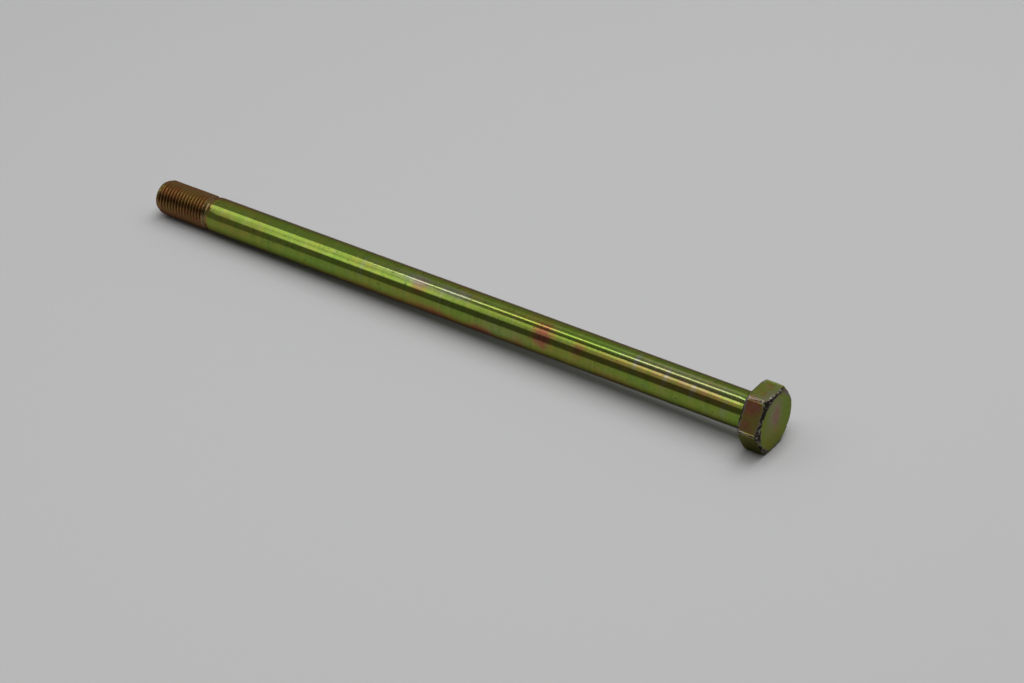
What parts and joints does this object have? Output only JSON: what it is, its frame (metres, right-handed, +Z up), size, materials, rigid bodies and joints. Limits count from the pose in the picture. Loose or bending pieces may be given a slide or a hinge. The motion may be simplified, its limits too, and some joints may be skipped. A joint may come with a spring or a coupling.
{
  "type": "bolt",
  "caption": "Long hexagon-head bolt with a smooth plain shank and a short fine-threaded end, for pivots and through-mountings.",
  "frame": {"origin": "centre of the bearing face under the head, on the bolt's axis", "axes": "+X along the bolt towards its head, +Z up as it lies at rest on one flat of the head and on its thread; the bolt's axis dips 0.9 degrees towards the threaded end, and the surface it lies on is 9.5 mm below the origin"},
  "size_m": [0.2356, 0.022, 0.0191],
  "materials": {
    "plated_steel": "iridescent yellow-green zinc chromate plating, glossy"
  },
  "bodies": {
    "root": {"bolt": "plated_steel"}
  },
  "joints": []
}
